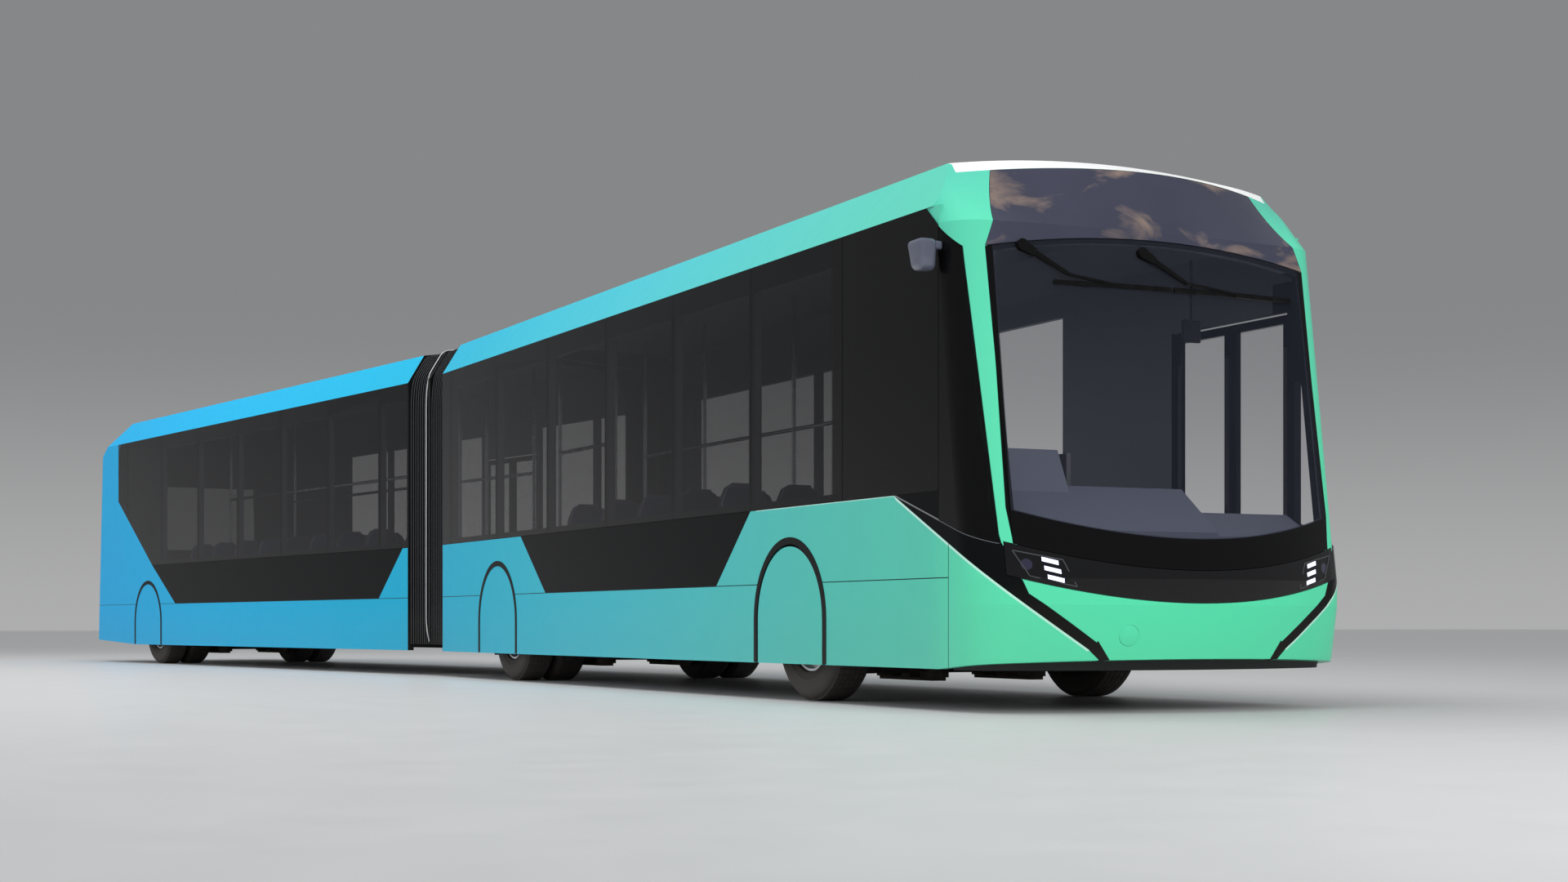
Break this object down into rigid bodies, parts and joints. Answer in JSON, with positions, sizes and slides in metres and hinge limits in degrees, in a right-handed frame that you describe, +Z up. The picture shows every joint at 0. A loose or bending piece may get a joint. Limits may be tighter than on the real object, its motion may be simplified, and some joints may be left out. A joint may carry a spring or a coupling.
{
  "type": "articulated bus",
  "caption": "Low-floor articulated city bus with a bellows and turntable, covered wheels, smooth mint to blue sides, black glazing band and a tall raked windscreen.",
  "frame": {"origin": "middle of the footprint, on the road, as the bus stands bent", "axes": "+X forward along the front section, +Y to the bus's left, +Z up"},
  "size_m": [21.4251, 4.2223, 3.231],
  "materials": {
    "paint": "gloss",
    "roof_paint": "gloss",
    "glazing": "gloss",
    "black_gloss": "gloss",
    "black_plastic": "matte",
    "frame_steel": "matte",
    "floor_vinyl": "matte",
    "axle_iron": "matte",
    "rim_alloy": "polished",
    "tyre_rubber": "matte",
    "seat_cloth": "woven",
    "rail_steel": "satin",
    "bellows_fabric": "matte",
    "door_metal": "gloss",
    "lamp_lens": "gloss",
    "battery_case": "satin"
  },
  "bodies": {
    "front_section": {"front_right_wall": "paint", "front_left_wall": "paint", "front_roof": "roof_paint", "front_mask": "paint", "front_side_windows": "glazing", "windscreen": "glazing", "destination_panel": "black_gloss", "lamp_band": "black_gloss", "headlamps": "lamp_lens", "front_floor": "floor_vinyl", "front_frame": "frame_steel", "front_axle": "axle_iron", "middle_axle": "axle_iron", "middle_wheel_covers": "paint", "front_seats": "seat_cloth", "front_handrails": "rail_steel", "cab_partition": "black_plastic", "driver_seat": "seat_cloth", "dashboard": "black_plastic", "camera_pods": "black_plastic", "wipers": "black_plastic", "bellows": "bellows_fabric"},
    "rear_section": {"rear_right_wall": "paint", "rear_left_wall": "paint", "rear_roof": "roof_paint", "tail_cap": "paint", "rear_side_windows": "glazing", "rear_window": "glazing", "rear_floor": "floor_vinyl", "rear_frame": "frame_steel", "rear_axle": "axle_iron", "rear_wheel_covers": "paint", "rear_seats": "seat_cloth", "rear_handrails": "rail_steel", "battery_pack": "battery_case"},
    "turntable": {"turntable_hoop": "frame_steel"},
    "left_steering_knuckle": {"left_knuckle": "axle_iron", "front_left_wheel_cover": "paint"},
    "front_left_wheel": {"front_left_tyre": "tyre_rubber", "front_left_rim": "rim_alloy"},
    "middle_left_wheels": {"middle_left_tyres": "tyre_rubber", "middle_left_rims": "rim_alloy"},
    "rear_left_wheels": {"rear_left_tyres": "tyre_rubber", "rear_left_rims": "rim_alloy"},
    "right_steering_knuckle": {"right_knuckle": "axle_iron", "front_right_wheel_cover": "paint"},
    "front_right_wheel": {"front_right_tyre": "tyre_rubber", "front_right_rim": "rim_alloy"},
    "middle_right_wheels": {"middle_right_tyres": "tyre_rubber", "middle_right_rims": "rim_alloy"},
    "rear_right_wheels": {"rear_right_tyres": "tyre_rubber", "rear_right_rims": "rim_alloy"},
    "front_door_rear_leaf_body": {"front_door_rear_leaf": "door_metal"},
    "front_door_front_leaf_body": {"front_door_front_leaf": "door_metal"},
    "middle_door_rear_leaf_body": {"middle_door_rear_leaf": "door_metal"},
    "middle_door_front_leaf_body": {"middle_door_front_leaf": "door_metal"},
    "rear_door_rear_leaf_body": {"rear_door_rear_leaf": "door_metal"},
    "rear_door_front_leaf_body": {"rear_door_front_leaf": "door_metal"}
  },
  "joints": [
    {"name": "articulation", "type": "hinge", "parent": "front_section", "child": "rear_section", "pos_m": [-0.01844, 0.67116, 0.25], "axis": [0, 0, 1], "range_deg": [-51.3, 34.6], "deforming": ["bellows"]},
    {"name": "turntable_turn", "type": "hinge", "parent": "front_section", "child": "turntable", "pos_m": [-0.01844, 0.67116, 0.25], "axis": [0, 0, 1], "range_deg": [-25.7, 17.35]},
    {"name": "left_steering", "type": "hinge", "parent": "front_section", "child": "left_steering_knuckle", "pos_m": [8.03756, 1.67116, 0.478], "axis": [0, 0, 1], "range_deg": [-40, 40]},
    {"name": "front_left_wheel_spin", "type": "hinge", "parent": "left_steering_knuckle", "child": "front_left_wheel", "pos_m": [8.03756, 1.67116, 0.478], "axis": [0, 1, 0], "continuous": true},
    {"name": "middle_left_wheels_spin", "type": "hinge", "parent": "front_section", "child": "middle_left_wheels", "pos_m": [2.16056, 1.53116, 0.478], "axis": [0, 1, 0], "continuous": true},
    {"name": "rear_left_wheels_spin", "type": "hinge", "parent": "rear_section", "child": "rear_left_wheels", "pos_m": [-8.47493, 0.29619, 0.478], "axis": [-0.1456, 0.9893, 0], "continuous": true},
    {"name": "right_steering", "type": "hinge", "parent": "front_section", "child": "right_steering_knuckle", "pos_m": [8.03756, -0.32884, 0.478], "axis": [0, 0, 1], "range_deg": [-40, 40]},
    {"name": "front_right_wheel_spin", "type": "hinge", "parent": "right_steering_knuckle", "child": "front_right_wheel", "pos_m": [8.03756, -0.32884, 0.478], "axis": [0, 1, 0], "continuous": true},
    {"name": "middle_right_wheels_spin", "type": "hinge", "parent": "front_section", "child": "middle_right_wheels", "pos_m": [2.16056, -0.18884, 0.478], "axis": [0, 1, 0], "continuous": true},
    {"name": "rear_right_wheels_spin", "type": "hinge", "parent": "rear_section", "child": "rear_right_wheels", "pos_m": [-8.22456, -1.40549, 0.478], "axis": [-0.1456, 0.9893, 0], "continuous": true},
    {"name": "front_door_rear_leaf_swing", "type": "hinge", "parent": "front_section", "child": "front_door_rear_leaf_body", "pos_m": [8.76006, 1.92866, 1.4], "axis": [0, 0, -1], "range_deg": [0, 88]},
    {"name": "front_door_front_leaf_swing", "type": "hinge", "parent": "front_section", "child": "front_door_front_leaf_body", "pos_m": [9.89506, 1.92866, 1.4], "axis": [0, 0, 1], "range_deg": [0, 88]},
    {"name": "middle_door_rear_leaf_swing", "type": "hinge", "parent": "front_section", "child": "middle_door_rear_leaf_body", "pos_m": [4.82706, 1.92866, 1.4], "axis": [0, 0, -1], "range_deg": [0, 88]},
    {"name": "middle_door_front_leaf_swing", "type": "hinge", "parent": "front_section", "child": "middle_door_front_leaf_body", "pos_m": [6.09206, 1.92866, 1.4], "axis": [0, 0, 1], "range_deg": [0, 88]},
    {"name": "rear_door_rear_leaf_swing", "type": "hinge", "parent": "rear_section", "child": "rear_door_rear_leaf_body", "pos_m": [-4.03175, 1.35171, 1.4], "axis": [0, 0, -1], "range_deg": [0, 88]},
    {"name": "rear_door_front_leaf_swing", "type": "hinge", "parent": "rear_section", "child": "rear_door_front_leaf_body", "pos_m": [-2.78023, 1.53585, 1.4], "axis": [0, 0, 1], "range_deg": [0, 88]}
  ],
  "couplings": [
    {"joint": "turntable_turn", "follows": "articulation", "ratio": 0.5},
    {"joint": "right_steering", "follows": "left_steering", "ratio": 1},
    {"joint": "front_door_front_leaf_swing", "follows": "front_door_rear_leaf_swing", "ratio": 1},
    {"joint": "middle_door_front_leaf_swing", "follows": "middle_door_rear_leaf_swing", "ratio": 1},
    {"joint": "rear_door_front_leaf_swing", "follows": "rear_door_rear_leaf_swing", "ratio": 1}
  ]
}
